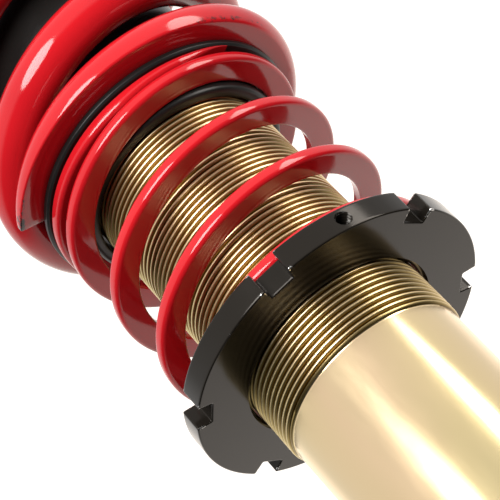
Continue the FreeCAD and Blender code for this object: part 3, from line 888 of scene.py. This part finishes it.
def make_seat():
    steel = LOOKS["black_steel"]
    low, high, radius = span("upper_seat")
    rubber_low, rubber_high, rubber_radius = span("spring_isolator")
    sleeve = 27.6
    stand_for(lathe("upper_spring_seat", [
        (24.6, low, 0.5), (sleeve, low, 0.9), (sleeve, rubber_high, 1.2), (radius - 2, rubber_high, 1.6),
        (radius - 2, rubber_high - 6, 0.5), (radius, rubber_high - 6, 0.6), (radius, high, 2.8),
        (sleeve + 2.5, high, 1.0), (24.6, high, 0.6)], steel, 192), "upper_seat")
    stand_for(lathe("upper_spring_isolator", [
        (27.8, rubber_low, 0.6), (rubber_radius, rubber_low, 0.9), (rubber_radius, rubber_high, 0.6),
        (27.8, rubber_high, 0.3)], LOOKS["black_rubber"]), "spring_isolator")
    bearing = LOOKS["bearing_steel"]
    for name, node, groove in (("lower_bearing_race", "bearing_lower_race", 1),
                               ("upper_bearing_race", "bearing_upper_race", -1)):
        low, high, radius = span(node)
        back, face = (low, high) if groove > 0 else (high, low)
        width = 10.0
        mid = radius - width / 2
        stand_for(lathe(name, [
            (mid - width / 2, back, 0.5), (radius, back, 0.5), (radius, face, 0.5), (mid + 1.6, face, 0.2),
            (mid + 0.9, face - 0.9 * groove, 0.4), (mid - 0.9, face - 0.9 * groove, 0.4),
            (mid - 1.6, face, 0.2), (mid - width / 2, face, 0.5)], bearing), node)


def make_tube_ends():
    low, high, radius = span("gland_nut")
    rim = high - 4.7
    bore = 7.4
    stand_for(lathe("damper_gland_nut", [
        (bore, low, 0.3), (19.4, low, 0.3), (19.4, rim, 0.2), (radius, rim, 0.4), (radius, high - 1.2, 0.8),
        (radius - 1.2, high, 0.6), (bore + 5, high, 0.8), (bore + 3.6, high - 1.4, 0.8),
        (bore, high - 1.4, 0.4)], LOOKS["black_steel"]), "gland_nut")
    low, high, radius = span("bottom_cap")
    # The cap has no crest attribute, so the zinc look's painted root shade darkens the whole cap.
    stand_for(lathe("strut_bottom_cap", [
        (0.0, low + 1.2), (radius - 6, low + 1.2, 2.0), (radius - 3, low, 1.0), (radius, low, 0.6),
        (radius, high, 0.4), (0.0, high)], LOOKS["zinc_tube"]), "bottom_cap")


# ---- stage, camera and light ------------------------------------------------------------

def direction(azimuth, elevation):
    """A unit vector, with azimuth counted in degrees from the camera's own."""
    turn = CAMERA_AZIMUTH + math.radians(azimuth)
    rise = math.radians(elevation)
    return Vector((math.cos(rise) * math.cos(turn), math.cos(rise) * math.sin(turn), math.sin(rise)))


def softbox(name, azimuth, elevation, width, height, power, colour=(1.0, 1.0, 1.0), mirrored=True,
            distance=1.5):
    """An oval light facing the part; one that is not mirrored adds no highlight."""
    light = bpy.data.lights.new(name, "AREA")
    light.color = colour
    light.shape = "ELLIPSE"
    light.size = 2 * distance * math.tan(math.radians(width / 2))
    light.size_y = 2 * distance * math.tan(math.radians(height / 2))
    light.energy = power
    obj = bpy.data.objects.new(name, light)
    target = Vector((0, 0, 0.2))
    obj.location = target + direction(azimuth, elevation) * distance
    obj.rotation_euler = (target - obj.location).to_track_quat("-Z", "Y").to_euler()
    obj.visible_glossy = mirrored
    bpy.context.scene.collection.objects.link(obj)


def make_world():
    """A white ceiling and backdrop over a studio that is dark low down in front and at the sides."""
    world = bpy.data.worlds.new("studio")
    bpy.context.scene.world = world
    world.use_nodes = True
    nodes, links = world.node_tree.nodes, world.node_tree.links
    place = nodes.new("ShaderNodeTexCoord").outputs["Generated"]

    def lobe(toward, near, far):
        dot = nodes.new("ShaderNodeVectorMath")
        dot.operation = "DOT_PRODUCT"
        dot.inputs[1].default_value = toward
        links.new(place, dot.inputs[0])
        fade = nodes.new("ShaderNodeMapRange")
        fade.interpolation_type = "SMOOTHSTEP"
        fade.inputs["From Min"].default_value = near
        fade.inputs["From Max"].default_value = far
        links.new(dot.outputs["Value"], fade.inputs["Value"])
        return fade.outputs["Result"]

    both = nodes.new("ShaderNodeMath")
    both.operation = "MAXIMUM"
    links.new(lobe(Vector((0, 0, 1)), -0.22, 0.14), both.inputs[0])
    backdrop = lobe(direction(180, -5), 0.45, 0.80)
    links.new(backdrop, both.inputs[1])
    strength = nodes.new("ShaderNodeMapRange")
    strength.inputs["To Min"].default_value = 0.03
    strength.inputs["To Max"].default_value = 0.88
    links.new(both.outputs["Value"], strength.inputs["Value"])
    total = nodes.new("ShaderNodeMath")
    total.operation = "MULTIPLY_ADD"
    total.inputs[1].default_value = 0.55
    links.new(backdrop, total.inputs[0])
    links.new(strength.outputs["Result"], total.inputs[2])
    warmth = nodes.new("ShaderNodeMix")
    warmth.data_type = "RGBA"
    warmth.inputs[6].default_value = (1.0, 1.0, 1.0, 1.0)
    warmth.inputs[7].default_value = (1.0, 0.93, 0.86, 1.0)
    links.new(backdrop, warmth.inputs[0])
    links.new(warmth.outputs[2], nodes["Background"].inputs["Color"])
    links.new(total.outputs["Value"], nodes["Background"].inputs["Strength"])


def make_camera():
    data = bpy.data.cameras.new("camera")
    data.sensor_width = 36.0
    data.lens = 151.65
    camera = bpy.data.objects.new("camera", data)
    place = Vector((0.39978, 0.00698, -0.0779))
    aim = Vector((0.0, -0.00029, 0.18445))
    roll = math.radians(-42.87)
    turn = (aim - place).to_track_quat("-Z", "Y").to_matrix().to_4x4()
    camera.matrix_world = Matrix.Translation(place) @ turn @ Matrix.Rotation(roll, 4, "Z")
    bpy.context.scene.collection.objects.link(camera)
    bpy.context.scene.camera = camera


def make_floor():
    top, thick, reach = -520.0, 20.0, 4000.0
    pale = plain_look("pale_floor", (0.85, 0.85, 0.85), 0.7, grain=20.0, depth=0.01, spread=0.004)
    floor = lathe("floor", [(0.0, top), (reach, top), (reach, top - thick), (0.0, top - thick)], pale, 64)
    floor.visible_diffuse = False
    floor.visible_glossy = False


make_strut_tube()
make_perch_collar()
make_helper_spring()
make_main_spring()
make_divider_ring()
make_dust_boot()
make_grub_screw()
make_top_mount()
make_seat()
make_tube_ends()

for node, obj in frame["nodes"].items():
    look = LOOKS[SLOTS[node]]
    for index in range(len(obj.material_slots)):
        obj.material_slots[index].material = look

make_world()
softbox("key_strip", -13, 4, 34, 40, 34)
softbox("side_strip", 68, 4, 22, 60, 20, colour=(1.0, 0.95, 0.89))
softbox("key_fill", -12, 0, 30, 30, 12, mirrored=False)
make_camera()
make_floor()
bpy.context.scene.view_settings.view_transform = "Standard"
